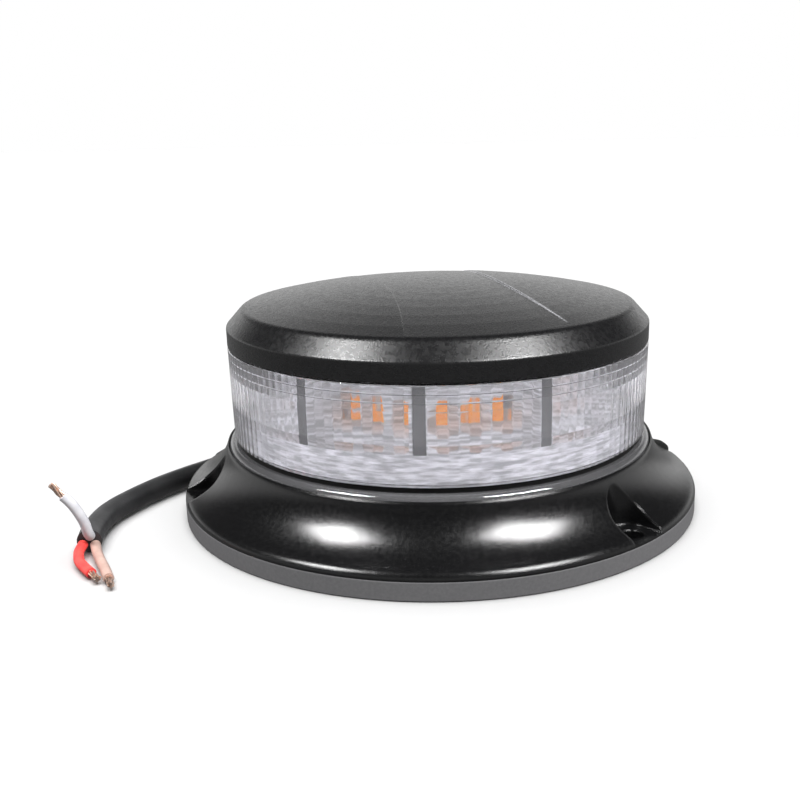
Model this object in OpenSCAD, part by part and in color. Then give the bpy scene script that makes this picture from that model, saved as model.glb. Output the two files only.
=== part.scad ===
// Low-profile LED warning beacon with a three-bolt flange and a short flying lead.
// Origin: centre of the base, on the mounting surface. Z runs up the beacon's axis.
// Fixing holes: 60, 180 and 300 degrees from +X, and a plugged spare one at 0. Millimetres throughout.

/* [Base] */
// Diameter of the flange and of the rubber pad under it
base_d = 140; // [138:0.5:142]
// Diameter of the collar that the lens sits in
collar_d = 117; // [116:0.5:118]
// Height of the collar's top above the mounting surface
collar_top = 18.7; // [18.3:0.1:19.1]
// Radius of the concave flare between rim and collar
flare_r = 18.3; // [17.5:0.1:20]

/* [Fixing] */
// Pitch circle diameter of the fixing holes
pcd = 130; // [129:0.5:130]
// Diameter of the fixing holes
hole_d = 5.5; // [5:0.1:6]
// Radius of the U-shaped recess around each fixing hole
recess_r = 5.5; // [5:0.1:6]

/* [Lens] */
// Outside diameter of the lens at its lower edge
lens_d = 111.6; // [111:0.1:112]
// Wall thickness of the lens
lens_wall = 2.6; // [2.4:0.1:2.8]
// Height of the lens's top edge above the mounting surface
lens_top = 45.1; // [44.5:0.1:45.5]
// Number of light-bending rings inside the lens's upper end (the lower end has one more)
ring_count = 3; // [2:1:3]

/* [Cap] */
// Diameter of the cap
cap_d = 112.4; // [112:0.1:112.8]
// Overall height of the beacon
total_h = 60.7; // [60.3:0.1:61.5]
// Depth, at the middle, of the waisted panel sunk into the cap's top
panel_depth = 0.4; // [0.3:0.1:0.8]

/* [Light engine] */
// Number of light modules around the core
module_count = 10; // [10:1:10]
// Number of LEDs on each module's board
leds_per_board = 3; // [1:1:3]

/* [Cable] */
// Outside diameter of the cable's sheath
cable_d = 6; // [5.6:0.1:6]
// Diameter of one insulated core
core_d = 2.5; // [2.3:0.1:2.6]

/* [Hidden] */
$fn = 96;
tau_deg = 360;

// Base levels and radii
rim_r = base_d / 2;
collar_r = collar_d / 2;
pad_z = 2;              // rubber under the housing
rim_bottom = 4.9;       // underside of the visible rim
rim_side = 6.2;         // height of the rim's outer side before its edge is rounded
rim_top = 7.5;          // where the flare begins
rim_edge = 2.6;         // width of the sloping, rounded edge outside the flare
rim_round = 2;
flare_top = 17;         // where the flare meets the collar
skirt_r = rim_r - 2.5;  // housing inside the pad's upstand
pad_gap = 0.3;
cavity_r = 46;
plate_r = 48.2;
ring_inner = 48.6;
plate_z = 2.2;
plate_t = 1.6;
gasket_t = 0.6;
ledge_z = plate_z + plate_t + gasket_t;
deck_low = 15.2;
deck_top = 17.6;
deck_hole_r = 11;
seat_z = 16.4;          // floor of the groove the lens stands in
seat_outer = collar_r - 0.8;
seat_inner = 52.3;
spigot_inner = 49.8;
spigot_top = 20.4;

// Fixing recesses
hole_angles = [0, 60, 180, 300];
spare_angle = 0;
spare_hole_r = 2.2;
hole_r = hole_d / 2;
recess_floor = 5.4;
recess_centre = pcd / 2 - 0.8;

// Base plate screws
boss_angles = [for (i = [0:5]) 30 + 60 * i];
boss_pitch = 42;
boss_r = 3.5;
m3_r = 1.5;
m3_clear = 1.8;
m3_head_r = 2.8;
m3_head_h = 1.5;
m3_slot = [3.2, 0.6];   // length and width of one arm pair of the cross recess
slot_depth = 0.6;
plate_screw_len = 8;
vent_hole_r = 4.5;      // the vent sits in the middle of the base plate

// Cable: centre of the curved channel, its radius, and how the channel's roof steps down
channel_centre = [-41.5, -4];
channel_radius = 40;
channel_steps = [[84, 7.5, 4.6], [100, 6.5, 4.2], [104.5, 5.5, 4.05], [107.5, 4.4, 3.9], [111, 3.7, 3.75]];
channel_end = 150;
gland_x = -41.5;
gland_y = 36;
gland_z = 7.5;
gland_r = 4.2;
gland_len = 8.3;
gland_flange_r = 4.9;
gland_flange_t = 2;
gland_taper = 3.5;
tie_x = -24.5;
cable_r = cable_d / 2;
core_r = core_d / 2;
strand_r = 0.85;
strip_len = 4;
inner_wire_r = 0.9;
wire_pitch = 2.1;
wire_bend_r = 10;

// Routes, as hand-chosen points
cable_route = [[-20, 36, 7.5], [-31, 36, 7.5], [-41.5, 36, 7.5], [-48.5, 35.5, 6.4], [-55, 33.5, 4.1],
               [-61.5, 30.5, 3.3], [-68.5, 25.5, 3.2], [-76, 19, 3.2], [-83.5, 10.5, 3.2],
               [-89.5, 1.5, 3.2], [-92.5, -8, 3.2], [-93.5, -17, 3.2]];
wire_start_x = cable_route[0][0] + 0.2;
white_route = [[-93.2, -17.2, 4.6], [-93.4, -19.2, 6.4], [-94, -20.4, 10], [-95.8, -21, 14.2],
               [-97.8, -21.2, 17]];
red_route = [[-95, -17.2, 2.6], [-95.8, -20.5, 2], [-95.4, -25, 1.5], [-93.8, -29.5, 1.5], [-92.2, -33, 1.5]];
brown_route = [[-92.2, -17.2, 2.2], [-91.6, -21, 1.6], [-90.6, -26, 1.5], [-89.2, -32, 1.5],
               [-88.2, -37, 1.5]];

// Lens levels
foot_z = seat_z + 0.5;
foot_top = collar_top + 1;
foot_round = 1.6;       // rounding on the foot's visible edge
foot_r = seat_outer - 0.3;
neck_r = lens_d / 2 - 1.2;
wall_z = 21.2;
lens_r = lens_d / 2;
lens_draft = 0.4;       // the lens widens this much towards the cap
lens_inner = lens_r - lens_wall;
low_ring_pitch = 2.3;
low_ring_depth = 1.1;   // cut at the ring's lower edge, running out at its upper edge
high_ring_pitch = 2.1;
high_ring_depth = 0.35; // cut at the ring's upper edge, running out at its lower edge
high_ring_rise = 0.1;   // each ring nearer the lens's top is cut this much deeper
ring_edge = 0.05;       // height over which a cut reaches its full depth
ring_land = 0.3;        // plain wall left between two rings
ring_margin = 0.5;      // plain wall left beyond the outermost rings

// Cap levels
cap_r = cap_d / 2;
cap_z = lens_top + 0.3;
band_top = 50.3;
shoulder_r = 52.1;
shoulder_z = 54.8;
dome_rise = total_h - shoulder_z;
dome_radius = (shoulder_r * shoulder_r + dome_rise * dome_rise) / (2 * dome_rise);
cap_wall = 2.6;
cap_skirt_r = lens_inner - 0.4;
cap_skirt_in = cap_skirt_r - 2.4;
cap_skirt_z = 44.4;
panel_side_r = 100;     // radius in plan of the raised sides
panel_waist = 15.3;     // half the panel's width at its waist
panel_draft = 1.2;      // how far the raised sides lean back, per unit of height
panel_limit_r = 50.5;

// Light engine
module_step = tau_deg / module_count;
module_turn = 16;
sink_apothem = 33;
sink_bore = 27;
sink_top = 43;
board_t = 1.2;
board_w = 19;
board_h = 20;
led_w = 2.8;
led_t = 0.9;
led_dome_r = 1.1;
led_z = 32;
led_pitch = 7.6;
led_front = sink_apothem + board_t + led_t;
cup_back = sink_apothem + board_t + 0.2;
cup_front = 47;
cup_back_w = 21.5;
cup_front_w = 27;
cup_low = 20.5;
cup_high = 42.6;
cup_throat_r = 2.6;
cup_mouth_r = 3.7;
cup_depth = 5;
trough_half = 9.2;      // half the height of the trough's mouth
trough_side = 0.5;      // thickness of the trough's end walls
lip_t = 0.9;            // lip that reaches from the reflector's lower edge towards the lens
lip_r = 52.5;
lip_back_w = 25;
lip_front_w = 29.2;
front_wall_top = 28.5;  // low wall that joins all the lips in front of the modules
front_wall_t = 1.2;
post_back = 41;
post_front = 49.2;
post_back_w = 1.8;
post_front_w = 3;

// Driver board
driver_r = 24;
driver_z = 26;
driver_t = 1.6;
standoff_pitch = 20;
standoff_angles = [20, 140, 260];
terminal_z = 19;
terminal_pitch = 2.4;

// Tie screws, which hold cap, lens, core and base together
tie_count = 5;
tie_pitch = 30;
tie_turn = -110;
tie_r = 2;
tie_clear = 2.3;
tie_head_r = 3.8;
tie_head_h = 3;
tie_slot = [4, 0.8];
tie_slot_depth = 1.6;
tie_end = 51;
insert_r = 3.1;
insert_len = 7;
insert_z = sink_top + 0.6;
cap_boss_r = 5;
cap_boss_top = 57;

// ---- helpers ----

function unit(v) = v / norm(v);

// The two tangent points and the arc of one rounded corner b between a and c
function corner(a, b, c, r, steps) =
    let (u = unit(a - b), w = unit(c - b))
    let (half = acos(u * w) / 2)
    let (reach = r / tan(half), mid = unit(u + w), centre = b + mid * r / sin(half))
    let (p = b + u * reach - centre, q = b + w * reach - centre)
    let (turn = acos(min(1, p * q / (r * r))), side = cross(p, q) > 0 ? 1 : -1)
    [for (i = [0:steps])
        let (t = side * turn * i / steps)
        centre + [p[0] * cos(t) - p[1] * sin(t), p[0] * sin(t) + p[1] * cos(t)]];

// A closed outline from [x, y, corner radius] entries
function outline(pts, steps = 5) =
    let (n = len(pts))
    [for (i = [0:n - 1])
        let (a = pts[(i + n - 1) % n], b = pts[i], c = pts[(i + 1) % n])
        let (p = [b[0], b[1]])
        each (b[2] > 0 ? corner([a[0], a[1]], p, [c[0], c[1]], b[2], steps) : [p])];

// Centre of an arc of radius r through a and c, on the left of the way from a to c
function arc_centre(a, c, r) =
    let (d = c - a, l = norm(d), h = sqrt(r * r - l * l / 4))
    (a + c) / 2 + [-d[1], d[0]] * h / l;

function dome_z(r, drop = 0) = total_h - dome_radius + sqrt(dome_radius * dome_radius - r * r) - drop;

// Height of a flatter dome that meets the first one at the shoulder and is lower by drop at the middle
function flat_dome_z(r, drop) =
    let (rise = dome_rise - drop, radius = (shoulder_r * shoulder_r + rise * rise) / (2 * rise))
    total_h - drop - radius + sqrt(radius * radius - r * r);

// Smooth curve through the points of a route
function spline_at(p, i, t) =
    let (n = len(p) - 1)
    let (a = p[max(i - 1, 0)], b = p[i], c = p[i + 1], d = p[min(i + 2, n)])
    0.5 * ((2 * b) + (c - a) * t + (2 * a - 5 * b + 4 * c - d) * t * t + (3 * b - a - 3 * c + d) * t * t * t);

function smooth(p, steps) =
    [for (i = [0:len(p) - 2], s = [0:steps - 1]) spline_at(p, i, s / steps), p[len(p) - 1]];

function heading(p, i) = unit(p[min(i + 1, len(p) - 1)] - p[max(i - 1, 0)]);

function ring_side(h) = unit(abs(h[2]) > 0.9 ? cross(h, [0, 1, 0]) : cross(h, [0, 0, 1]));

function carried(v, h) = unit(v - (v * h) * h);

function sides_along(p, i = 0, v = undef) =
    i >= len(p) ? [] :
    let (h = heading(p, i), s = is_undef(v) ? ring_side(h) : carried(v, h))
    concat([s], sides_along(p, i + 1, s));

module tube(route, r, sides, steps) {
    p = smooth(route, steps);
    n = len(p);
    across = sides_along(p);
    points = [for (i = [0:n - 1], k = [0:sides - 1])
        let (h = heading(p, i), s = across[i], u = cross(h, s), a = tau_deg * k / sides)
        p[i] + r * (cos(a) * s + sin(a) * u)];
    walls = [for (i = [0:n - 2], k = [0:sides - 1])
        [i * sides + k, i * sides + (k + 1) % sides,
         (i + 1) * sides + (k + 1) % sides, (i + 1) * sides + k]];
    ends = [[for (k = [sides - 1:-1:0]) k], [for (k = [0:sides - 1]) (n - 1) * sides + k]];
    polyhedron(points, concat(walls, ends), convexity = 6);
}

module around(angles, radius) {
    for (a = angles) rotate(a) translate([radius, 0, 0]) children();
}

module annulus(r_out, r_in, z0, z1) {
    translate([0, 0, z0]) difference() {
        cylinder(h = z1 - z0, r = r_out);
        translate([0, 0, -1]) cylinder(h = z1 - z0 + 2, r = r_in);
    }
}

// Cross recess, cut from z upwards or downwards by the given height
module cross_recess(slot, z, h) {
    for (a = [0, 90]) rotate(a) translate([-slot[0] / 2, -slot[1] / 2, z]) cube([slot[0], slot[1], h]);
}

module tie_places() {
    around([for (i = [0:tie_count - 1]) tie_turn + tau_deg / tie_count * i], tie_pitch) children();
}

module module_places() {
    for (i = [0:module_count - 1]) rotate(module_turn + module_step * i) children();
}

module led_places() {
    module_places()
        for (k = [0:leds_per_board - 1])
            translate([0, (k - (leds_per_board - 1) / 2) * led_pitch, led_z]) children();
}

// The way the cable leaves: a curved channel, open below, whose roof steps down towards the rim
module cable_way() {
    last = len(channel_steps) - 1;
    translate([channel_centre[0], channel_centre[1], 0])
        for (i = [0:last]) {
            s = channel_steps[i];
            stop = i == last ? channel_end : channel_steps[i + 1][0] + 0.3;
            rotate(s[0])
                rotate_extrude(angle = stop - s[0], $fn = 180)
                    translate([channel_radius, 0])
                        polygon(outline([[-s[2], -1, 0], [s[2], -1, 0], [s[2], s[1] + s[2], s[2] - 0.3],
                                         [-s[2], s[1] + s[2], s[2] - 0.3]], 3));
        }
}

// ---- base ----

module base_pad() {
    color([0.2, 0.2, 0.2])
    difference() {
        rotate_extrude($fn = 180)
            polygon(outline([[ring_inner + 2, 0, 0], [rim_r, 0, 0.4], [rim_r, rim_bottom - 0.1, 0.3],
                             [skirt_r + pad_gap, rim_bottom - 0.1, 0], [skirt_r + pad_gap, pad_z, 0],
                             [ring_inner + 2, pad_z, 0]]));
        for (a = hole_angles)
            rotate(a) translate([pcd / 2, 0, -1])
                cylinder(h = pad_z + 2, r = a == spare_angle ? spare_hole_r : hole_r);
        cable_way();
    }
}

module housing_profile() {
    rim = [rim_r - rim_edge, rim_top - 0.05];
    neck = [collar_r, flare_top];
    centre = arc_centre(neck, rim, flare_r);
    difference() {
        polygon(outline([[ring_inner, pad_z, 0], [skirt_r, pad_z, 0], [skirt_r, rim_bottom, 0],
                         [rim_r, rim_bottom, 0], [rim_r, rim_side, rim_round],
                         [rim_r - rim_edge, rim_top, 0], [rim_r - rim_edge, flare_top, 0],
                         [collar_r, flare_top, 0], [collar_r, collar_top, 0.4],
                         [seat_outer, collar_top, 0.2], [seat_outer, seat_z, 0],
                         [seat_inner, seat_z, 0], [seat_inner, spigot_top, 0.4],
                         [spigot_inner, spigot_top, 0.4], [spigot_inner, deck_top, 0],
                         [deck_hole_r, deck_top, 0.4], [deck_hole_r, deck_low, 0.4],
                         [cavity_r, deck_low, 1], [cavity_r, ledge_z, 0], [ring_inner, ledge_z, 0]]));
        translate(centre) circle(r = flare_r, $fn = 360);
    }
}

module fixing_recess(r) {
    translate([recess_centre, 0, recess_floor]) cylinder(h = collar_top, r = recess_r);
    translate([recess_centre, -recess_r, recess_floor]) cube([recess_r + 4, 2 * recess_r, collar_top]);
    translate([pcd / 2, 0, 0]) cylinder(h = collar_top, r = r);
}

module base_housing() {
    color([0.1, 0.1, 0.1])
    difference() {
        union() {
            rotate_extrude($fn = 180) housing_profile();
            around(boss_angles, boss_pitch)
                translate([0, 0, ledge_z]) cylinder(h = deck_low - ledge_z + 0.5, r = boss_r, $fn = 32);
        }
        for (a = hole_angles) rotate(a) fixing_recess(a == spare_angle ? spare_hole_r : hole_r);
        around(boss_angles, boss_pitch)
            translate([0, 0, ledge_z - 1]) cylinder(h = 9, r = m3_clear, $fn = 24);
        tie_places()
            translate([0, 0, deck_low - 1]) cylinder(h = 4, r = tie_clear, $fn = 32);
        around(standoff_angles, standoff_pitch)
            translate([0, 0, deck_low - 1]) cylinder(h = 4, r = m3_clear, $fn = 24);
        cable_way();
        translate([gland_x - 2.6, gland_y, gland_z])
            rotate([0, 90, 0])
                cylinder(h = 2.6, r = gland_flange_r + 0.3);
        translate([gland_x - 1, gland_y, gland_z])
            rotate([0, 90, 0])
                cylinder(h = gland_len + 1, r = gland_r + 0.3);
        translate([gland_x, gland_y, gland_z]) rotate([0, 90, 0]) cylinder(h = 16, r = cable_r + 0.4);
    }
}

module plate_outline(r_out, r_in, z0, z1) {
    difference() {
        annulus(r_out, r_in, z0, z1);
        around(boss_angles, boss_pitch)
            translate([0, 0, z0 - 1]) cylinder(h = z1 - z0 + 2, r = m3_clear, $fn = 24);
    }
}

module base_plate() {
    color([0.75, 0.76, 0.78])
    plate_outline(plate_r, vent_hole_r, plate_z, plate_z + plate_t);
}

module plate_gasket() {
    color([0.15, 0.15, 0.16])
    annulus(plate_r, cavity_r + 0.3, plate_z + plate_t, ledge_z);
}

module plate_screws() {
    color([0.8, 0.8, 0.82])
    around(boss_angles, boss_pitch) {
        difference() {
            translate([0, 0, plate_z - m3_head_h])
                cylinder(h = m3_head_h, r1 = m3_head_r - 0.4, r2 = m3_head_r);
            cross_recess(m3_slot, plate_z - m3_head_h - 1, slot_depth + 1);
        }
        translate([0, 0, plate_z]) cylinder(h = plate_screw_len, r = m3_r, $fn = 24);
    }
}

module vent_plug() {
    color([0.3, 0.3, 0.32])
    rotate_extrude()
        polygon(outline([[1.2, plate_z - 1.4, 0], [6.5, plate_z - 1.4, 0.6], [6.5, plate_z, 0],
                         [vent_hole_r - 0.3, plate_z, 0], [vent_hole_r - 0.3, plate_z + plate_t, 0],
                         [vent_hole_r + 0.6, plate_z + plate_t, 0],
                         [vent_hole_r - 0.4, plate_z + plate_t + 2, 0.3],
                         [1.2, plate_z + plate_t + 2, 0]]));
}

module spare_hole_plug() {
    head = recess_r - 0.4;
    color([0.12, 0.12, 0.12])
    rotate(spare_angle) translate([pcd / 2, 0, 0])
        rotate_extrude()
            polygon(outline([[0, pad_z, 0], [spare_hole_r - 0.7, pad_z, 0.4],
                             [spare_hole_r - 0.3, pad_z + 1, 0], [spare_hole_r - 0.3, recess_floor, 0],
                             [head, recess_floor, 0.3],
                             [head, recess_floor + 1.8, 1.2], [head - 1.6, recess_floor + 3, 0.6],
                             [0, recess_floor + 3.3, 0]]));
}

// ---- cable entry ----

module cable_gland() {
    color([0.14, 0.14, 0.14])
    translate([gland_x, gland_y, gland_z])
        rotate([0, 90, 0])
            rotate_extrude()
                polygon(outline([[cable_r, -gland_flange_t - gland_taper, 0],
                                 [cable_r + 0.5, -gland_flange_t - gland_taper, 0.15],
                                 [gland_r - 0.2, -gland_flange_t, 0.3],
                                 [gland_flange_r, -gland_flange_t, 0.3], [gland_flange_r, 0, 0.2],
                                 [gland_r, 0, 0], [gland_r, gland_len, 0.3],
                                 [cable_r, gland_len, 0]]));
}

module cable_tie() {
    color([0.9, 0.9, 0.88])
    translate([tie_x, gland_y, gland_z]) {
        rotate([0, 90, 0]) difference() {
            cylinder(h = 2.5, r = cable_r + 0.6);
            translate([0, 0, -1]) cylinder(h = 5, r = cable_r + 0.15);
        }
        difference() {
            translate([-0.5, -2.2, cable_r + 0.4]) cube([3.5, 4.4, 2.6]);
            translate([-1, -1.3, cable_r + 1]) cube([5, 2.6, 1]);
        }
    }
}

module cable() {
    color([0.08, 0.08, 0.08]) tube(cable_route, cable_r, 12, 3);
}

module core_white() {
    color([0.92, 0.92, 0.92]) tube(white_route, core_r, 10, 3);
}

module core_red() {
    color([0.85, 0.15, 0.15]) tube(red_route, core_r, 10, 3);
}

module core_brown() {
    color([0.5, 0.36, 0.3]) tube(brown_route, core_r, 10, 3);
}

module bare_end(route) {
    n = len(route) - 1;
    way = unit(route[n] - route[n - 1]);
    tube([route[n], route[n] + way * strip_len / 2, route[n] + way * strip_len], strand_r, 8, 2);
}

module core_strands() {
    color([0.72, 0.45, 0.3]) {
        bare_end(white_route);
        bare_end(red_route);
        bare_end(brown_route);
    }
}

module inner_wires() {
    color([0.7, 0.2, 0.2])
    for (i = [-1, 0, 1])
        let (bend = wire_bend_r + wire_pitch * i)
        tube([[wire_start_x, gland_y + wire_pitch * i, gland_z],
              [wire_start_x + bend * sin(45), gland_y - wire_bend_r + bend * cos(45), gland_z],
              [wire_start_x + bend, gland_y - wire_bend_r, gland_z],
              [-3 + terminal_pitch * i, 8, 9], [terminal_pitch * i, 1, 13.5],
              [terminal_pitch * i, 0, 16], [terminal_pitch * i, 0, terminal_z - 0.2]], inner_wire_r, 8, 4);
}

// ---- lens ----

module lens_profile() {
    top_r = lens_r + lens_draft;
    difference() {
        polygon(outline([[seat_inner + 0.5, foot_z, 0], [foot_r, foot_z, 0.3], [foot_r, foot_top, foot_round],
                         [neck_r, foot_top, 0], [neck_r, wall_z, 0], [lens_r, wall_z, 0.3],
                         [top_r, lens_top, 0.2], [lens_inner, lens_top, 0.2], [lens_inner, wall_z, 0],
                         [seat_inner + 0.5, wall_z, 0]]));
        for (i = [0:ring_count])
            translate([lens_inner - 0.01, wall_z + ring_margin + low_ring_pitch * i])
                polygon([[0, 0], [low_ring_depth, ring_edge], [0, low_ring_pitch - ring_land]]);
        for (i = [1:ring_count])
            translate([lens_inner - 0.01, lens_top - ring_margin - high_ring_pitch * i])
                polygon([[0, ring_land], [0, high_ring_pitch],
                         [high_ring_depth + high_ring_rise * (ring_count - i), high_ring_pitch - ring_edge]]);
    }
}

module lens() {
    color([0.85, 0.88, 0.92, 0.5])
    rotate_extrude($fn = 180) lens_profile();
}

module lens_gasket() {
    color([0.16, 0.16, 0.17])
    annulus(foot_r, seat_inner + 0.5, seat_z, foot_z);
}

module groove_seal() {
    color([0.05, 0.05, 0.05])
    rotate_extrude($fn = 180)
        polygon(outline([[neck_r + 0.1, foot_top + 0.1, 0], [lens_r - 0.7, foot_top + 0.1, 0.1],
                         [lens_r - 0.7, wall_z - 0.1, 0.1], [neck_r + 0.1, wall_z - 0.1, 0]]));
}

// ---- light engine ----

module heat_sink() {
    color([0.8, 0.81, 0.83])
    difference() {
        translate([0, 0, deck_top]) rotate(module_turn + module_step / 2)
            cylinder(h = sink_top - deck_top, r = sink_apothem / cos(module_step / 2), $fn = module_count);
        translate([0, 0, deck_top - 1]) cylinder(h = sink_top, r = sink_bore);
        tie_places()
            translate([0, 0, deck_top - 1]) cylinder(h = sink_top, r = tie_clear, $fn = 32);
    }
}

module led_boards() {
    color([0.93, 0.93, 0.9])
    module_places()
        difference() {
            translate([sink_apothem, -board_w / 2, led_z - board_h / 2]) cube([board_t, board_w, board_h]);
            for (side = [-1, 1])
                translate([sink_apothem - 1, side * (board_w / 2 - 2), led_z + board_h / 2 - 2.4])
                    rotate([0, 90, 0]) cylinder(h = board_t + 2, r = 1, $fn = 24);
        }
}

module leds() {
    color([1, 0.62, 0.1])
    led_places()
        rotate([0, 90, 0]) {
            translate([-led_w / 2, -led_w / 2, sink_apothem + board_t]) cube([led_w, led_w, led_t]);
            translate([0, 0, led_front]) cylinder(h = 0.9, r1 = led_dome_r, r2 = led_dome_r * 0.55, $fn = 24);
        }
}

module wedge(x0, w0, x1, w1, z0, z1) {
    translate([0, 0, z0])
        linear_extrude(z1 - z0)
            polygon([[x0, -w0 / 2], [x1, -w1 / 2], [x1, w1 / 2], [x0, w0 / 2]]);
}

// The trough in front of the LEDs, opening like a parabola towards the lens
module trough() {
    steps = 6;
    back = cup_back + cup_depth;
    reach = cup_front - back;
    upper = [for (i = [0:steps])
        let (t = i / steps) [back + reach * t * t, cup_mouth_r + 0.1 + (trough_half - cup_mouth_r) * t]];
    lower = [for (i = [steps:-1:0]) [upper[i][0], -upper[i][1]]];
    side_w = 2 * trough_side;
    intersection() {
        wedge(cup_back, cup_back_w - side_w, cup_front + 0.01, cup_front_w - side_w, cup_low, cup_high);
        translate([0, cup_front_w, led_z])
            rotate([90, 0, 0]) linear_extrude(2 * cup_front_w)
                polygon(concat(upper, [[cup_front + 1, upper[steps][1]], [cup_front + 1, lower[0][1]]],
                               lower));
    }
}

module reflector_posts() {
    color([0.25, 0.25, 0.27])
    rotate(module_step / 2) module_places()
        wedge(post_back, post_back_w, post_front, post_front_w, deck_top, cup_high);
}

module reflector_lip() {
    intersection() {
        wedge(cup_front - 0.5, lip_back_w, lip_r, lip_front_w, cup_low + 0.05, cup_low + lip_t);
        translate([0, 0, cup_low - 1]) cylinder(h = lip_t + 2, r = lip_r - front_wall_t / 2);
    }
}

module reflectors() {
    color([0.85, 0.86, 0.88]) {
        annulus(lip_r, lip_r - front_wall_t, cup_low, front_wall_top);
        module_places()
            difference() {
                union() {
                    wedge(cup_back, cup_back_w, cup_front, cup_front_w, cup_low, cup_high);
                    reflector_lip();
                }
                for (k = [0:leds_per_board - 1])
                    translate([cup_back - 0.01, (k - (leds_per_board - 1) / 2) * led_pitch, led_z])
                        rotate([0, 90, 0])
                            cylinder(h = cup_depth + 0.02, r1 = cup_throat_r, r2 = cup_mouth_r, $fn = 32);
                trough();
            }
    }
}

// ---- driver ----

module driver_board() {
    color([0.1, 0.4, 0.2])
    difference() {
        translate([0, 0, driver_z]) cylinder(h = driver_t, r = driver_r);
        around(standoff_angles, standoff_pitch)
            translate([0, 0, driver_z - 1]) cylinder(h = driver_t + 2, r = m3_clear, $fn = 24);
    }
}

module board_standoffs() {
    color([0.8, 0.65, 0.3])
    around(standoff_angles, standoff_pitch) {
        difference() {
            translate([0, 0, deck_top]) cylinder(h = driver_z - deck_top, r = 2.9, $fn = 6);
            translate([0, 0, driver_z - 5]) cylinder(h = 6, r = m3_clear, $fn = 24);
        }
        translate([0, 0, deck_low + 0.1]) cylinder(h = deck_top - deck_low, r = m3_r, $fn = 24);
    }
}

module board_screws() {
    color([0.8, 0.8, 0.82])
    around(standoff_angles, standoff_pitch) {
        difference() {
            translate([0, 0, driver_z + driver_t])
                cylinder(h = m3_head_h, r1 = m3_head_r, r2 = m3_head_r - 0.4);
            cross_recess(m3_slot, driver_z + driver_t + m3_head_h - slot_depth, slot_depth + 1);
        }
        translate([0, 0, driver_z - 4]) cylinder(h = driver_t + 4, r = m3_r, $fn = 24);
    }
}

module capacitors() {
    color([0.2, 0.25, 0.45])
    for (p = [[-9, -12], [4, -14]])
        translate([p[0], p[1], driver_z + driver_t])
            rotate_extrude()
                polygon(outline([[0, 0, 0], [4, 0, 0.3], [4, 1, 0], [3.7, 1.4, 0], [4, 1.8, 0],
                                 [4, 10.5, 0.5], [0, 10.5, 0]]));
}

module inductor() {
    color([0.25, 0.25, 0.26])
    translate([-9, 7, driver_z + driver_t]) {
        translate([-6, -6, 0]) cube([12, 12, 1.2]);
        translate([0, 0, 1.2]) cylinder(h = 4.6, r = 5.2);
        translate([0, 0, 5.8]) cylinder(h = 1, r = 5.8);
    }
}

module driver_chips() {
    color([0.1, 0.1, 0.11])
    for (p = [[6, 6, 90], [12, -2, 0], [-14, -3, 0], [5, 14, 90]])
        translate([p[0], p[1], driver_z + driver_t]) rotate(p[2]) {
            translate([-2, -2.5, 0.2]) cube([4, 5, 1.3]);
            for (side = [-1, 1], i = [-1, 0, 1])
                translate([side * 2.5 - 0.5, i * 1.3 - 0.2, 0]) cube([1, 0.4, 0.7]);
        }
}

module wire_terminal() {
    color([0.9, 0.9, 0.85])
    difference() {
        translate([-5, -3.5, terminal_z]) cube([10, 7, driver_z - terminal_z]);
        for (i = [-1, 0, 1])
            translate([terminal_pitch * i, 2.6, terminal_z + 2.5])
                rotate([-90, 0, 0]) cylinder(h = 3, r = 0.8, $fn = 24);
    }
}

// ---- cap and its fixings ----

module tie_screws() {
    color([0.8, 0.8, 0.82])
    tie_places() {
        difference() {
            translate([0, 0, deck_low - tie_head_h])
                cylinder(h = tie_head_h, r1 = tie_head_r - 0.6, r2 = tie_head_r);
            cross_recess(tie_slot, deck_low - tie_head_h - 1, tie_slot_depth + 1);
        }
        translate([0, 0, deck_low]) cylinder(h = tie_end - deck_low, r = tie_r, $fn = 32);
    }
}

module cap_inserts() {
    color([0.8, 0.65, 0.3])
    tie_places()
        translate([0, 0, insert_z]) difference() {
            union() {
                cylinder(h = insert_len, r = insert_r - 0.3, $fn = 32);
                translate([0, 0, 1]) cylinder(h = 2, r = insert_r, $fn = 32);
                translate([0, 0, 4]) cylinder(h = 2, r = insert_r, $fn = 32);
            }
            translate([0, 0, -1]) cylinder(h = insert_len + 2, r = tie_r + 0.3, $fn = 32);
        }
}

module cap_profile() {
    steps = 8;
    inside = [for (i = [0:steps]) let (r = cap_skirt_in * i / steps) [r, dome_z(r, cap_wall), 0]];
    outside = [for (i = [0:steps]) let (r = shoulder_r * (1 - i / steps)) [r, dome_z(r), i == 0 ? 3 : 0]];
    polygon(outline(concat(inside,
        [[cap_skirt_in, cap_skirt_z, 0.4], [cap_skirt_r, cap_skirt_z, 0.4], [cap_skirt_r, cap_z, 0],
         [cap_r, cap_z, 0.4], [cap_r, band_top, 0.8]],
        outside)));
}

// What the waisted panel removes from the top of the dome, between two raised sides
module panel_cut() {
    steps = 8;
    reach = 4;              // the sides' height above the panel's middle; twice that below it
    middle = total_h - panel_depth;
    difference() {
        rotate_extrude($fn = 180)
            polygon(concat([for (i = [0:steps])
                                let (r = panel_limit_r * i / steps) [r, flat_dome_z(r, panel_depth)]],
                           [[panel_limit_r, total_h + 1], [0, total_h + 1]]));
        for (side = [-1, 1])
            translate([side * (panel_waist + panel_side_r), 0, middle - 2 * reach])
                cylinder(h = 3 * reach, r1 = panel_side_r + 2 * reach * panel_draft,
                         r2 = panel_side_r - reach * panel_draft, $fn = 360);
    }
}

module top_cap() {
    color([0.13, 0.13, 0.14])
    difference() {
        union() {
            rotate_extrude($fn = 180) cap_profile();
            tie_places()
                translate([0, 0, sink_top]) cylinder(h = cap_boss_top - sink_top, r = cap_boss_r, $fn = 32);
        }
        panel_cut();
        tie_places()
            translate([0, 0, sink_top - 1])
                cylinder(h = tie_end - sink_top + 2, r = insert_r + 0.3, $fn = 32);
    }
}

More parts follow.
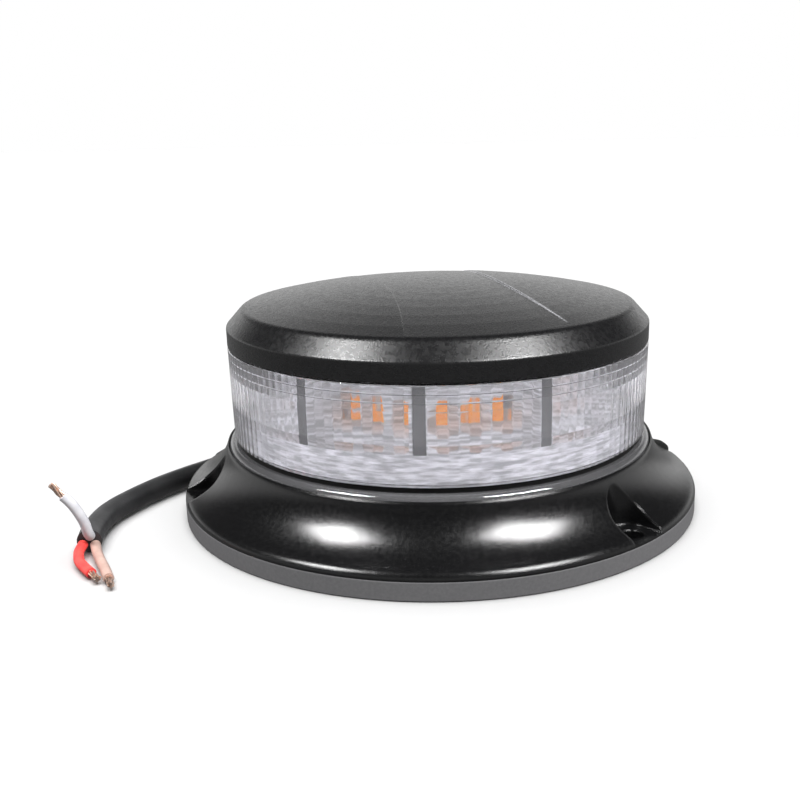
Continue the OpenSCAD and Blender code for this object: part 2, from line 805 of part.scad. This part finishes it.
module cap_seal() {
    color([0.1, 0.1, 0.1])
    annulus(lens_r, lens_inner + 0.3, lens_top, cap_z);
}

// ---- the whole beacon ----

base_pad();
base_housing();
base_plate();
plate_gasket();
plate_screws();
vent_plug();
cable_gland();
cable_tie();
spare_hole_plug();
lens();
lens_gasket();
groove_seal();
heat_sink();
led_boards();
leds();
reflectors();
reflector_posts();
driver_board();
board_standoffs();
board_screws();
capacitors();
inductor();
driver_chips();
wire_terminal();
tie_screws();
top_cap();
cap_inserts();
cap_seal();
inner_wires();
cable();
core_white();
core_red();
core_brown();
core_strands();
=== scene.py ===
"""Visual model of the low-profile LED warning beacon. Metres, in the CAD model's own frame."""

import math

import bpy
from mathutils import Matrix, Vector


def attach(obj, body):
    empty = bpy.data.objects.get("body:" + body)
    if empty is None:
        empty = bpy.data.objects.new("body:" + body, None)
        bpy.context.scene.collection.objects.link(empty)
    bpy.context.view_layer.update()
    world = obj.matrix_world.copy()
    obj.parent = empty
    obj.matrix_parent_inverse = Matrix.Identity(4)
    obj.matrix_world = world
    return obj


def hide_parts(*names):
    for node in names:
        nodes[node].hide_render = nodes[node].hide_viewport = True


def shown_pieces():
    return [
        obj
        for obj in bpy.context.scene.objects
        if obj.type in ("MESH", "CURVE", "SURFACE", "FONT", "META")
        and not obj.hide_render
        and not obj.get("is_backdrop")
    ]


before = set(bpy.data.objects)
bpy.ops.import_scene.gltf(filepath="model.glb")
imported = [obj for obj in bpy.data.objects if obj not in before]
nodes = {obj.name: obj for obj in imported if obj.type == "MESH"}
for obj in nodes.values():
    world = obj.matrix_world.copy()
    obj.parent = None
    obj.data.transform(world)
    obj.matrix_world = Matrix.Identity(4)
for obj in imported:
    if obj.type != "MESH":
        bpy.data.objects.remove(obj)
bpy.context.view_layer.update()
MM = 0.001


# ---- camera ----

# angles in degrees; the sensor and the lens in millimetres, and the shifts in frame widths
CAMERA_AZIMUTH = -14.5
CAMERA_ELEVATION = 15.76
CAMERA_ROLL = -0.94
CAMERA_DISTANCE = 0.28
AIM = Vector((0, 0, 0.02333))
SENSOR_WIDTH = 36
FOCAL_LENGTH = 45.34
SHIFT_X = -0.0489
SHIFT_Y = 0.0151


def direction(azimuth, elevation):
    """The way out from the beacon: azimuth 0 is -Y and 90 is +X, and elevation is above the horizon."""
    a = math.radians(azimuth)
    e = math.radians(elevation)
    return Vector((math.sin(a) * math.cos(e), -math.cos(a) * math.cos(e), math.sin(e)))


def make_camera():
    """The camera, at the angle that shows the front of the beacon and its cable."""
    data = bpy.data.cameras.new("camera")
    data.sensor_width = SENSOR_WIDTH
    data.lens = FOCAL_LENGTH
    data.shift_x = SHIFT_X
    data.shift_y = SHIFT_Y
    data.clip_start = 0.01
    camera = bpy.data.objects.new("camera", data)
    bpy.context.scene.collection.objects.link(camera)
    back = direction(CAMERA_AZIMUTH, CAMERA_ELEVATION)
    camera.rotation_mode = "QUATERNION"
    camera.location = AIM + back * CAMERA_DISTANCE
    roll = Matrix.Rotation(math.radians(CAMERA_ROLL), 4, "Z").to_quaternion()
    camera.rotation_quaternion = (-back).to_track_quat("-Z", "Y") @ roll
    bpy.context.scene.camera = camera


make_camera()


# ---- routes, the same points as in the CAD source, in millimetres ----

CABLE_D = 6.0
CORE_D = 2.5
ROUTE_STEPS = 6
CABLE_ROUTE = [
    (-20, 36, 7.5), (-31, 36, 7.5), (-41.5, 36, 7.5), (-48.5, 35.5, 6.4), (-55, 33.5, 4.1),
    (-61.5, 30.5, 3.3), (-68.5, 25.5, 3.2), (-76, 19, 3.2), (-83.5, 10.5, 3.2),
    (-89.5, 1.5, 3.2), (-92.5, -8, 3.2), (-93.5, -17, 3.2),
]
CORE_ROUTES = {
    "core_white": [(-93.2, -17.2, 4.6), (-93.4, -19.2, 6.4), (-94, -20.4, 10),
                   (-95.8, -21, 14.2), (-97.8, -21.2, 17)],
    "core_red": [(-95, -17.2, 2.6), (-95.8, -20.5, 2), (-95.4, -25, 1.5),
                 (-93.8, -29.5, 1.5), (-92.2, -33, 1.5)],
    "core_brown": [(-92.2, -17.2, 2.2), (-91.6, -21, 1.6), (-90.6, -26, 1.5),
                   (-89.2, -32, 1.5), (-88.2, -37, 1.5)],
}

# the bare ends: seven strands a core, which start inside it
STRANDS = 7
STRAND_START = 0.5
STRAND_LENGTH = 4.4
STRAND_R = 0.27
STRAND_LAY_R = 0.56
STRAND_WAVER = 0.15
STRAND_TURN = math.radians(100)
STRAND_STEPS = 8


def smooth_route(points):
    """Points along a Catmull-Rom curve through the route, in metres."""
    p = [Vector(q) * MM for q in points]
    last = len(p) - 1
    made = []
    for i in range(last):
        a, b, c, d = p[max(i - 1, 0)], p[i], p[i + 1], p[min(i + 2, last)]
        for s in range(ROUTE_STEPS):
            t = s / ROUTE_STEPS
            made.append(0.5 * (2 * b + (c - a) * t + (2 * a - 5 * b + 4 * c - d) * t ** 2
                               + (3 * b - a - 3 * c + d) * t ** 3))
    return made + [p[last]]


def tube_curve(name, lines, radius, resolution):
    """A curve object with one round tube along each line; the points' radii alone make it that thick."""
    data = bpy.data.curves.new(name, "CURVE")
    data.dimensions = "3D"
    data.bevel_depth = 1
    data.bevel_resolution = resolution
    data.use_fill_caps = True
    for line in lines:
        spline = data.splines.new("POLY")
        spline.points.add(len(line) - 1)
        for point, place in zip(spline.points, line):
            point.co = (*place, 1)
            point.radius = radius
        spline.use_smooth = True
    tube = bpy.data.objects.new(name, data)
    bpy.context.scene.collection.objects.link(tube)
    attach(tube, "root")
    return tube


def make_cable():
    line = smooth_route(CABLE_ROUTE)
    cable = tube_curve("cable_sheath", [line], CABLE_D / 2 * MM, resolution=8)
    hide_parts("cable")
    return cable, line


def make_core(name):
    """One insulated core of the cable, from the sheath's cut end to its own."""
    line = smooth_route(CORE_ROUTES[name])
    core = tube_curve(name + "_insulation", [line], CORE_D / 2 * MM, resolution=6)
    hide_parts(name)
    return core, line


def make_strands(lines):
    """Fine strands out of the end of each core: one in the middle and the others laid round it."""
    made = []
    for line in lines:
        way = (line[-1] - line[-2]).normalized()
        side = way.orthogonal().normalized()
        up = way.cross(side)
        start = line[-1] - way * STRAND_START * MM
        for k in range(STRANDS):
            strand = []
            for s in range(STRAND_STEPS + 1):
                along = STRAND_LENGTH * MM * s / STRAND_STEPS
                angle = math.tau * k / (STRANDS - 1) + STRAND_TURN * s / STRAND_STEPS
                waver = 1 - STRAND_WAVER * math.sin(s + k)
                out = STRAND_LAY_R * MM * waver if k else 0
                strand.append(start + way * along + (side * math.cos(angle) + up * math.sin(angle)) * out)
            made.append(strand)
    strands = tube_curve("bare_strands", made, STRAND_R * MM, resolution=2)
    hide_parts("core_strands")
    return strands


cable, cable_line = make_cable()
cores = {name: make_core(name) for name in CORE_ROUTES}
strands = make_strands([line for core, line in cores.values()])


# ---- material helpers ----

# most of what a noise texture gives lies between these two
NOISE_RANGE = (0.35, 0.65)

# the cosine between a rounded and a flat normal, off an edge and on it
OFF_EDGE = 0.99
ON_EDGE = 0.96


def map_range(tree, value, from_range, to_range, interpolation="LINEAR"):
    """A Map Range node on that value, in that node tree."""
    made = tree.nodes.new("ShaderNodeMapRange")
    made.interpolation_type = interpolation
    sockets = ("From Min", "From Max", "To Min", "To Max")
    for socket, number in zip(sockets, (*from_range, *to_range)):
        made.inputs[socket].default_value = number
    tree.links.new(value, made.inputs["Value"])
    return made.outputs["Result"]


def combine(tree, operation, a, b):
    """A Math node on those two values, in that node tree."""
    made = tree.nodes.new("ShaderNodeMath")
    made.operation = operation
    tree.links.new(a, made.inputs[0])
    tree.links.new(b, made.inputs[1])
    return made.outputs["Value"]


class Surface:
    """A node material with a Principled shader, and short calls that add procedural detail to it."""

    def __init__(self, name, colour, roughness, metallic=0.0):
        self.material = bpy.data.materials.new(name)
        self.material.use_nodes = True
        self.tree = self.material.node_tree
        self.shader = self.tree.nodes["Principled BSDF"]
        self.colour = colour
        self.set("Base Color", (*colour, 1))
        self.set("Roughness", roughness)
        self.set("Metallic", metallic)
        self.coords = self.tree.nodes.new("ShaderNodeTexCoord").outputs["Object"]
        self.normal = None

    def set(self, socket, value):
        self.shader.inputs[socket].default_value = value

    def link(self, a, b):
        self.tree.links.new(a, b)

    def node(self, kind, **values):
        made = self.tree.nodes.new(kind)
        for name, value in values.items():
            setattr(made, name, value)
        return made

    def noise(self, size, detail=3.0, roughness=0.55):
        """Noise whose lumps are about that many metres across."""
        noise = self.node("ShaderNodeTexNoise")
        noise.inputs["Scale"].default_value = 1 / size
        noise.inputs["Detail"].default_value = detail
        noise.inputs["Roughness"].default_value = roughness
        self.link(self.coords, noise.inputs["Vector"])
        return noise.outputs["Fac"]

    def spots(self, size):
        """Round cells about that many metres apart; the value is the distance to a cell's middle."""
        cells = self.node("ShaderNodeTexVoronoi")
        cells.inputs["Scale"].default_value = 1 / size
        self.link(self.coords, cells.inputs["Vector"])
        return cells.outputs["Distance"]

    def ranged(self, value, low, high, out_low, out_high):
        """The value, moved in a straight line from the first range to the second."""
        return map_range(self.tree, value, (low, high), (out_low, out_high))

    def vary_roughness(self, value, low, high):
        """Spreads the roughness between those two, following the value."""
        self.link(self.ranged(value, *NOISE_RANGE, low, high), self.shader.inputs["Roughness"])
        return self

    def vary_colour(self, value, other, low=NOISE_RANGE[0], high=NOISE_RANGE[1]):
        """Mixes in the other colour as the value goes from low to high."""
        mix = self.node("ShaderNodeMix", data_type="RGBA")
        mix.inputs["A"].default_value = (*self.colour, 1)
        mix.inputs["B"].default_value = (*other, 1)
        self.link(self.ranged(value, low, high, 0, 1), mix.inputs["Factor"])
        self.link(mix.outputs["Result"], self.shader.inputs["Base Color"])
        return self

    def soft_edges(self, radius):
        """Shades sharp edges as if they were rounded by that radius."""
        bevel = self.node("ShaderNodeBevel")
        bevel.inputs["Radius"].default_value = radius
        self.normal = bevel.outputs["Normal"]
        self.link(self.normal, self.shader.inputs["Normal"])
        return self

    def stretch(self, x, y, z):
        """Squeezes all later detail along each axis by that factor."""
        scaled = self.node("ShaderNodeVectorMath", operation="MULTIPLY")
        scaled.inputs[1].default_value = (x, y, z)
        self.link(self.coords, scaled.inputs[0])
        self.coords = scaled.outputs["Vector"]

    def times(self, a, b):
        """The product of two values."""
        return combine(self.tree, "MULTIPLY", a, b)

    def edges(self, radius):
        """One on edges, as far in as that radius, and zero elsewhere."""
        bevel = self.node("ShaderNodeBevel")
        bevel.inputs["Radius"].default_value = radius
        facing = self.node("ShaderNodeNewGeometry")
        dot = self.node("ShaderNodeVectorMath", operation="DOT_PRODUCT")
        self.link(bevel.outputs["Normal"], dot.inputs[0])
        self.link(facing.outputs["True Normal"], dot.inputs[1])
        return self.ranged(dot.outputs["Value"], OFF_EDGE, ON_EDGE, 0, 1)

    def bump(self, value, depth):
        """Raises the surface by up to that depth in metres."""
        bump = self.node("ShaderNodeBump")
        bump.inputs["Strength"].default_value = 1
        bump.inputs["Distance"].default_value = depth
        self.link(value, bump.inputs["Height"])
        if self.normal:
            self.link(self.normal, bump.inputs["Normal"])
        self.normal = bump.outputs["Normal"]
        self.link(self.normal, self.shader.inputs["Normal"])
        return self


def dress(thing, surface):
    """Gives one piece or CAD node that surface all over."""
    thing.data.materials.clear()
    thing.data.materials.append(surface.material)


def dress_nodes(names, surface):
    """Gives each of those CAD nodes the same surface."""
    for name in names:
        dress(nodes[name], surface)


# ---- materials ----

# the cap's painted highlight along its crease, in metres: where it starts, how far it fades in up and across,
# and its width
CREASE_HIGHLIGHT_Z = 0.0553
CREASE_HIGHLIGHT_FADE_Z = 0.0003
CREASE_HIGHLIGHT_FADE_X = 0.001
CREASE_HIGHLIGHT_W = 0.0006


def cap_plastic():
    """Fine-grained black, with a painted highlight: a pale line along the sunk panel's edge on the +X half of
    the top.
    """
    s = Surface("cap_plastic", (0.003, 0.003, 0.0033), 0.28)
    s.set("Specular IOR Level", 0.42)
    s.vary_roughness(s.noise(0.0012), 0.24, 0.32)
    place = s.node("ShaderNodeSeparateXYZ")
    s.link(s.coords, place.inputs["Vector"])
    on_top = s.ranged(place.outputs["Z"], CREASE_HIGHLIGHT_Z, CREASE_HIGHLIGHT_Z + CREASE_HIGHLIGHT_FADE_Z, 0, 1)
    on_side = s.ranged(place.outputs["X"], 0, CREASE_HIGHLIGHT_FADE_X, 0, 1)
    # painted highlight: a pale line on the crease's edge, where the light would catch it
    s.vary_colour(s.times(s.times(on_top, on_side), s.edges(CREASE_HIGHLIGHT_W)), (0.2, 0.2, 0.21), 0, 1)
    s.soft_edges(0.0003)
    return s.bump(s.noise(0.0003, 1.0), 0.000045)


def housing_plastic():
    s = Surface("housing_plastic", (0.002, 0.002, 0.0022), 0.2)
    s.set("Specular IOR Level", 0.42)
    s.vary_roughness(s.noise(0.0009), 0.18, 0.24)
    s.vary_colour(s.noise(0.0006), (0.003, 0.003, 0.0032))
    s.soft_edges(0.001)
    return s.bump(s.noise(0.0003, 1.0), 0.00002)


def pad_rubber():
    s = Surface("pad_rubber", (0.075, 0.074, 0.077), 0.75)
    s.vary_roughness(s.noise(0.001), 0.7, 0.8)
    s.vary_colour(s.noise(0.0007), (0.087, 0.086, 0.089))
    return s.bump(s.noise(0.0005, 3.0), 0.00002)


def seal_rubber():
    s = Surface("seal_rubber", (0.003, 0.003, 0.003), 0.6)
    s.set("Specular IOR Level", 0.15)
    s.vary_roughness(s.noise(0.003), 0.5, 0.7)
    return s.bump(s.noise(0.0006, 2.0), 0.00001)


def clear_plastic():
    s = Surface("clear_plastic", (0.95, 0.945, 0.985), 0.06)
    s.set("Transmission Weight", 0.95)
    s.set("IOR", 1.49)
    s.vary_roughness(s.noise(0.004), 0.05, 0.1)
    return s.bump(s.noise(0.003, 1.0), 0.00001)


def mirror_plastic():
    """Bright moulded reflector; its own faint glow is painted light for what the clear lens lets in, and the
    pale streaks in its colour, which glow with it, are painted reflections.
    """
    s = Surface("mirror_plastic", (0.41, 0.41, 0.42), 0.42, 0.15)
    s.vary_roughness(s.noise(0.004), 0.36, 0.5)
    s.stretch(0.6, 0.6, 4)
    # pale streaks: painted reflections, which also drive the painted glow below
    s.vary_colour(s.noise(0.003, 2.0), (0.95, 0.95, 0.97), 0.38, 0.66)
    s.link(s.shader.inputs["Base Color"].links[0].from_socket, s.shader.inputs["Emission Color"])
    s.set("Emission Strength", 0.16)
    return s.bump(s.noise(0.0012, 2.0), 0.000006)


def post_plastic():
    s = Surface("post_plastic", (0.05, 0.05, 0.053), 0.45)
    s.vary_roughness(s.noise(0.003), 0.4, 0.55)
    return s.bump(s.noise(0.0006), 0.00002)


def led_amber():
    s = Surface("led_amber", (1.0, 0.33, 0.0), 0.2)
    # the LEDs are off; this glow is painted light that makes them look bright amber
    s.set("Emission Color", (1.0, 0.33, 0.0, 1))
    s.set("Emission Strength", 0.3)
    s.set("Coat Weight", 0.5)
    s.set("Subsurface Weight", 0.2)
    s.set("Subsurface Scale", 0.001)
    s.vary_colour(s.noise(0.0008), (1.0, 0.36, 0.02))
    return s.bump(s.noise(0.0005), 0.00001)


def board_white():
    s = Surface("board_white", (0.8, 0.8, 0.77), 0.4)
    s.vary_colour(s.noise(0.002), (0.72, 0.72, 0.69))
    return s.bump(s.noise(0.0004), 0.00001)


def board_green():
    s = Surface("board_green", (0.012, 0.13, 0.05), 0.35)
    s.vary_colour(s.spots(0.0025), (0.02, 0.2, 0.08), 0.3, 0.45)
    return s.bump(s.noise(0.0006), 0.00002)


def cast_aluminium():
    s = Surface("cast_aluminium", (0.62, 0.63, 0.65), 0.4, 1.0)
    s.vary_roughness(s.noise(0.003), 0.33, 0.5)
    return s.bump(s.noise(0.0007, 3.0), 0.00004)


def sheet_steel():
    s = Surface("sheet_steel", (0.55, 0.56, 0.58), 0.35, 1.0)
    s.vary_roughness(s.noise(0.004, 5.0, 0.7), 0.28, 0.5)
    s.vary_colour(s.spots(0.006), (0.48, 0.49, 0.5), 0.3, 0.7)
    return s.bump(s.noise(0.0008, 4.0), 0.00001)


def screw_steel():
    s = Surface("screw_steel", (0.5, 0.51, 0.53), 0.3, 1.0)
    s.vary_roughness(s.noise(0.001), 0.24, 0.42)
    return s.bump(s.noise(0.0004), 0.00001)


def turned_brass():
    s = Surface("turned_brass", (0.75, 0.55, 0.25), 0.25, 1.0)
    s.vary_roughness(s.noise(0.001), 0.2, 0.35)
    return s.bump(s.noise(0.0003), 0.00001)


def chip_black():
    s = Surface("chip_black", (0.02, 0.02, 0.021), 0.6)
    s.vary_roughness(s.noise(0.0008), 0.5, 0.7)
    return s.bump(s.noise(0.0002), 0.00001)


def capacitor_sleeve():
    s = Surface("capacitor_sleeve", (0.02, 0.04, 0.14), 0.3)
    s.vary_roughness(s.noise(0.002), 0.25, 0.4)
    return s.bump(s.noise(0.0015), 0.00002)


def terminal_plastic():
    s = Surface("terminal_plastic", (0.78, 0.77, 0.7), 0.45)
    s.vary_roughness(s.noise(0.002), 0.4, 0.52)
    return s.bump(s.noise(0.0005), 0.00001)


def tie_nylon():
    s = Surface("tie_nylon", (0.75, 0.75, 0.7), 0.4)
    s.vary_roughness(s.noise(0.002), 0.35, 0.5)
    return s.bump(s.noise(0.0006), 0.00001)


def sheath_pvc():
    s = Surface("sheath_pvc", (0.012, 0.012, 0.013), 0.42)
    s.vary_roughness(s.noise(0.004), 0.36, 0.52)
    s.vary_colour(s.noise(0.006), (0.02, 0.02, 0.021))
    return s.bump(s.noise(0.0009, 2.0), 0.00002)


def core_pvc(name, colour, other):
    s = Surface(name, colour, 0.4)
    s.vary_roughness(s.noise(0.002), 0.34, 0.5)
    s.vary_colour(s.noise(0.003), other)
    return s.bump(s.noise(0.0008), 0.000015)


def bare_copper():
    s = Surface("bare_copper", (0.78, 0.5, 0.36), 0.3, 1.0)
    s.vary_roughness(s.noise(0.0006), 0.25, 0.45)
    s.vary_colour(s.noise(0.001), (0.62, 0.5, 0.44))
    return s.bump(s.noise(0.0003), 0.00001)


# ---- lens, with its vertical flutes and horizontal light-bending rings ----

# millimetres; apart from the flutes, this is the lens of the CAD source
FLUTES = 144
FLUTE_DEPTH = 0.07
LENS_SPOKES = FLUTES * 8
FOOT_Z = 16.9
FOOT_TOP = 19.7
FOOT_CHAMFER = 0.3
FOOT_ROUND = 1.6
FOOT_STEPS = 10
FOOT_R = 57.4
NECK_R = 54.6
WALL_Z = 21.2
WALL_R = 55.8
WALL_STEPS = 6
WALL_START = 0.3
WALL_END = 0.2
TOP_R = 56.2
TOP_Z = 45.1
RIM_CHAMFER = 0.25
INNER_R = 53.2
INNER_CHAMFER = 0.2
FOOT_INNER_R = 52.8
LOW_RINGS = 4
LOW_RING_PITCH = 2.3
LOW_RING_DEPTH = 1.1
HIGH_RINGS = 3
HIGH_RING_PITCH = 2.1
HIGH_RING_DEPTH = 0.35
HIGH_RING_RISE = 0.1
RING_EDGE = 0.05
RING_LAND = 0.3
RING_MARGIN = 0.5

# an edge of the lens stays sharp if its two faces meet at more than this many degrees
SHARP_FROM = 10


def low_rings():
    """The lower saw-tooth rings inside the lens, upwards, as (radius, height, flute share)."""
    made = []
    for k in range(LOW_RINGS):
        z = WALL_Z + RING_MARGIN + LOW_RING_PITCH * k
        made.append((INNER_R, z, 0))
        made.append((INNER_R + LOW_RING_DEPTH, z + RING_EDGE, 0))
        made.append((INNER_R, z + LOW_RING_PITCH - RING_LAND, 0))
    return made


def high_rings():
    """The upper rings, which are cut the other way up."""
    made = []
    for k in range(HIGH_RINGS, 0, -1):
        z = TOP_Z - RING_MARGIN - HIGH_RING_PITCH * k
        depth = HIGH_RING_DEPTH + HIGH_RING_RISE * (HIGH_RINGS - k)
        made.append((INNER_R, z + RING_LAND, 0))
        made.append((INNER_R + depth, z + HIGH_RING_PITCH - RING_EDGE, 0))
        made.append((INNER_R, z + HIGH_RING_PITCH, 0))
    return made


def lens_outline():
    """The lens's section as (radius, height, flute share), from the foot's inner corner out and round."""
    foot = [(FOOT_INNER_R, FOOT_Z, 0), (FOOT_R - FOOT_CHAMFER, FOOT_Z, 0), (FOOT_R, FOOT_Z + FOOT_CHAMFER, 0)]
    for i in range(FOOT_STEPS + 1):
        turn = math.pi / 2 * i / FOOT_STEPS
        radius = FOOT_R - FOOT_ROUND * (1 - math.cos(turn))
        foot.append((radius, FOOT_TOP - FOOT_ROUND * (1 - math.sin(turn)), 0))
    foot += [(NECK_R, FOOT_TOP, 0), (NECK_R, WALL_Z, 0)]
    wall = [(WALL_R - RIM_CHAMFER, WALL_Z, 0)]
    wall_h = TOP_Z - WALL_END - WALL_Z - WALL_START
    for i in range(WALL_STEPS + 1):
        share = i / WALL_STEPS
        wall.append((WALL_R + (TOP_R - WALL_R) * share, WALL_Z + WALL_START + wall_h * share, 1))
    top = [(TOP_R - RIM_CHAMFER, TOP_Z, 0), (INNER_R + INNER_CHAMFER, TOP_Z, 0)]
    inside = [(INNER_R, TOP_Z - INNER_CHAMFER, 0)]
    inside += reversed(low_rings() + high_rings())
    inside += [(INNER_R, WALL_Z, 0), (FOOT_INNER_R, WALL_Z, 0)]
    return foot + wall + top + inside


def make_lens():
    """The section swept round, with the outer wall drawn in between each two neighbouring flutes."""
    outline = lens_outline()
    count = len(outline)
    points = []
    for k in range(LENS_SPOKES):
        angle = math.tau * k / LENS_SPOKES
        wave = FLUTE_DEPTH * (abs(math.sin(angle * FLUTES / 2)) - 1)
        for radius, height, share in outline:
            r = (radius + wave * share) * MM
            points.append((r * math.cos(angle), r * math.sin(angle), height * MM))
    faces = []
    for k in range(LENS_SPOKES):
        here, there = k * count, (k + 1) % LENS_SPOKES * count
        for i in range(count):
            j = (i + 1) % count
            faces.append((here + i, there + i, there + j, here + j))
    mesh = bpy.data.meshes.new("fluted_lens")
    mesh.from_pydata(points, [], faces)
    mesh.shade_smooth()
    mesh.set_sharp_from_angle(angle=math.radians(SHARP_FROM))
    lens = bpy.data.objects.new("fluted_lens", mesh)
    bpy.context.scene.collection.objects.link(lens)
    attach(lens, "root")
    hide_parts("lens")
    return lens


lens = make_lens()


# ---- who wears what ----

dress(lens, clear_plastic())
dress(cable, sheath_pvc())
dress(cores["core_white"][0], core_pvc("core_white", (0.42, 0.42, 0.45), (0.5, 0.5, 0.52)))
dress(cores["core_red"][0], core_pvc("core_red", (0.55, 0.03, 0.03), (0.65, 0.06, 0.05)))
dress(cores["core_brown"][0], core_pvc("core_brown", (0.3, 0.2, 0.17), (0.38, 0.26, 0.22)))
dress(strands, bare_copper())
dress_nodes(["top_cap"], cap_plastic())
dress_nodes(["base_housing"], housing_plastic())
dress_nodes(["base_pad"], pad_rubber())
# groove_seal is painted shade: a black ring that fills the shaded gap under the lens wall; the other seals
# are rubber parts
dress_nodes(["plate_gasket", "vent_plug", "cable_gland", "spare_hole_plug", "lens_gasket",
             "groove_seal", "cap_seal"], seal_rubber())
dress_nodes(["base_plate"], sheet_steel())
dress_nodes(["plate_screws", "board_screws", "tie_screws"], screw_steel())
dress_nodes(["reflectors"], mirror_plastic())
dress_nodes(["reflector_posts"], post_plastic())
dress_nodes(["leds"], led_amber())
dress_nodes(["led_boards"], board_white())
dress_nodes(["driver_board"], board_green())
dress_nodes(["heat_sink"], cast_aluminium())
dress_nodes(["board_standoffs", "cap_inserts"], turned_brass())
dress_nodes(["driver_chips", "inductor"], chip_black())
dress_nodes(["capacitors"], capacitor_sleeve())
dress_nodes(["wire_terminal"], terminal_plastic())
dress_nodes(["cable_tie"], tie_nylon())
dress_nodes(["inner_wires"], core_pvc("inner_wires", (0.5, 0.05, 0.04), (0.6, 0.08, 0.06)))


# ---- floor and light ----

# metres and degrees, and the floor glow's strength in watts per square metre
FLOOR_REACH = 6.0
FLOOR_GLOW = 3.75
FLOOR_GLOW_SPREAD = 70
SOFTBOX_ELEVATION = 50
SOFTBOX_DISTANCE = 0.65
SOFTBOX_HEIGHT = 0.2
SWEEP_ELEVATION = 15


def make_floor():
    """A pale floor that the beacon neither mirrors nor takes light from: it gets the world's sweep there."""
    side = FLOOR_REACH
    mesh = bpy.data.meshes.new("floor")
    corners = [(-side, -side, 0), (side, -side, 0), (side, side, 0), (-side, side, 0)]
    mesh.from_pydata(corners, [], [(0, 1, 2, 3)])
    floor = bpy.data.objects.new("floor", mesh)
    bpy.context.scene.collection.objects.link(floor)
    dress(floor, Surface("floor", (0.82, 0.82, 0.82), 0.9))
    floor.visible_glossy = False
    floor.visible_diffuse = False
    floor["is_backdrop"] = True
    return floor


def light_only(light, objects):
    """Keeps that light off everything but these objects."""
    lit = bpy.data.collections.new(light.name + "_lit")
    for thing in objects:
        lit.objects.link(thing)
    light.light_linking.receiver_collection = lit


def make_floor_light(floor):
    """A broad overhead glow that falls on the floor alone and keeps it evenly pale."""
    data = bpy.data.lights.new("floor_glow", "SUN")
    data.energy = FLOOR_GLOW
    data.angle = math.radians(FLOOR_GLOW_SPREAD)
    glow = bpy.data.objects.new("floor_glow", data)
    bpy.context.scene.collection.objects.link(glow)
    light_only(glow, [floor])


def make_softbox(name, azimuth, width, power, lit):
    """An area light for those objects; azimuth is measured from the camera's side of the beacon."""
    away = direction(CAMERA_AZIMUTH + azimuth, SOFTBOX_ELEVATION)
    data = bpy.data.lights.new(name, "AREA")
    data.shape = "RECTANGLE"
    data.size = width
    data.size_y = SOFTBOX_HEIGHT
    data.energy = power
    light = bpy.data.objects.new(name, data)
    light.location = away * SOFTBOX_DISTANCE
    light.rotation_mode = "QUATERNION"
    light.rotation_quaternion = (-away).to_track_quat("-Z", "Y")
    bpy.context.scene.collection.objects.link(light)
    light_only(light, lit)


def make_world():
    """A pale sweep: bright round the horizon, higher behind the object, dim below and overhead."""
    world = bpy.data.worlds.new("studio")
    world.use_nodes = True
    bpy.context.scene.world = world
    tree = world.node_tree
    background = tree.nodes["Background"]
    coords = tree.nodes.new("ShaderNodeTexCoord").outputs["Generated"]

    def share(way, low, high, out_low, out_high):
        """Fades from one value to another as the view turns towards that way; low and high are cosines."""
        dot = tree.nodes.new("ShaderNodeVectorMath")
        dot.operation = "DOT_PRODUCT"
        dot.inputs[1].default_value = way
        tree.links.new(coords, dot.inputs[0])
        return map_range(tree, dot.outputs["Value"], (low, high), (out_low, out_high), "SMOOTHSTEP")

    up = (0, 0, 1)
    behind = direction(CAMERA_AZIMUTH + 180, SWEEP_ELEVATION)

    # bright round the horizon and nearly dark overhead
    band = share(up, 0.15, 0.35, 1.0, 0.04)

    # the patch of sweep behind the beacon, which dims towards its top
    patch = share(behind, 0.85, 0.98, 0.0, 1.0)
    dimming = share(up, 0.27, 0.55, 1.0, 0.3)
    sweep = combine(tree, "MULTIPLY", patch, dimming)

    # dim from just under the floor's far edge downwards
    above_floor = share(up, -0.06, -0.03, 0.25, 1.0)
    level = combine(tree, "MAXIMUM", band, sweep)
    level = combine(tree, "MULTIPLY", level, above_floor)
    tree.links.new(level, background.inputs["Color"])
    background.inputs["Strength"].default_value = 1.0


make_floor_light(make_floor())
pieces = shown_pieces()
make_softbox("softbox_left", azimuth=-62, width=0.22, power=6.8, lit=pieces)
make_softbox("softbox_right", azimuth=50, width=0.3, power=9.2, lit=pieces)
make_world()

scene = bpy.context.scene
scene.view_settings.view_transform = "Standard"
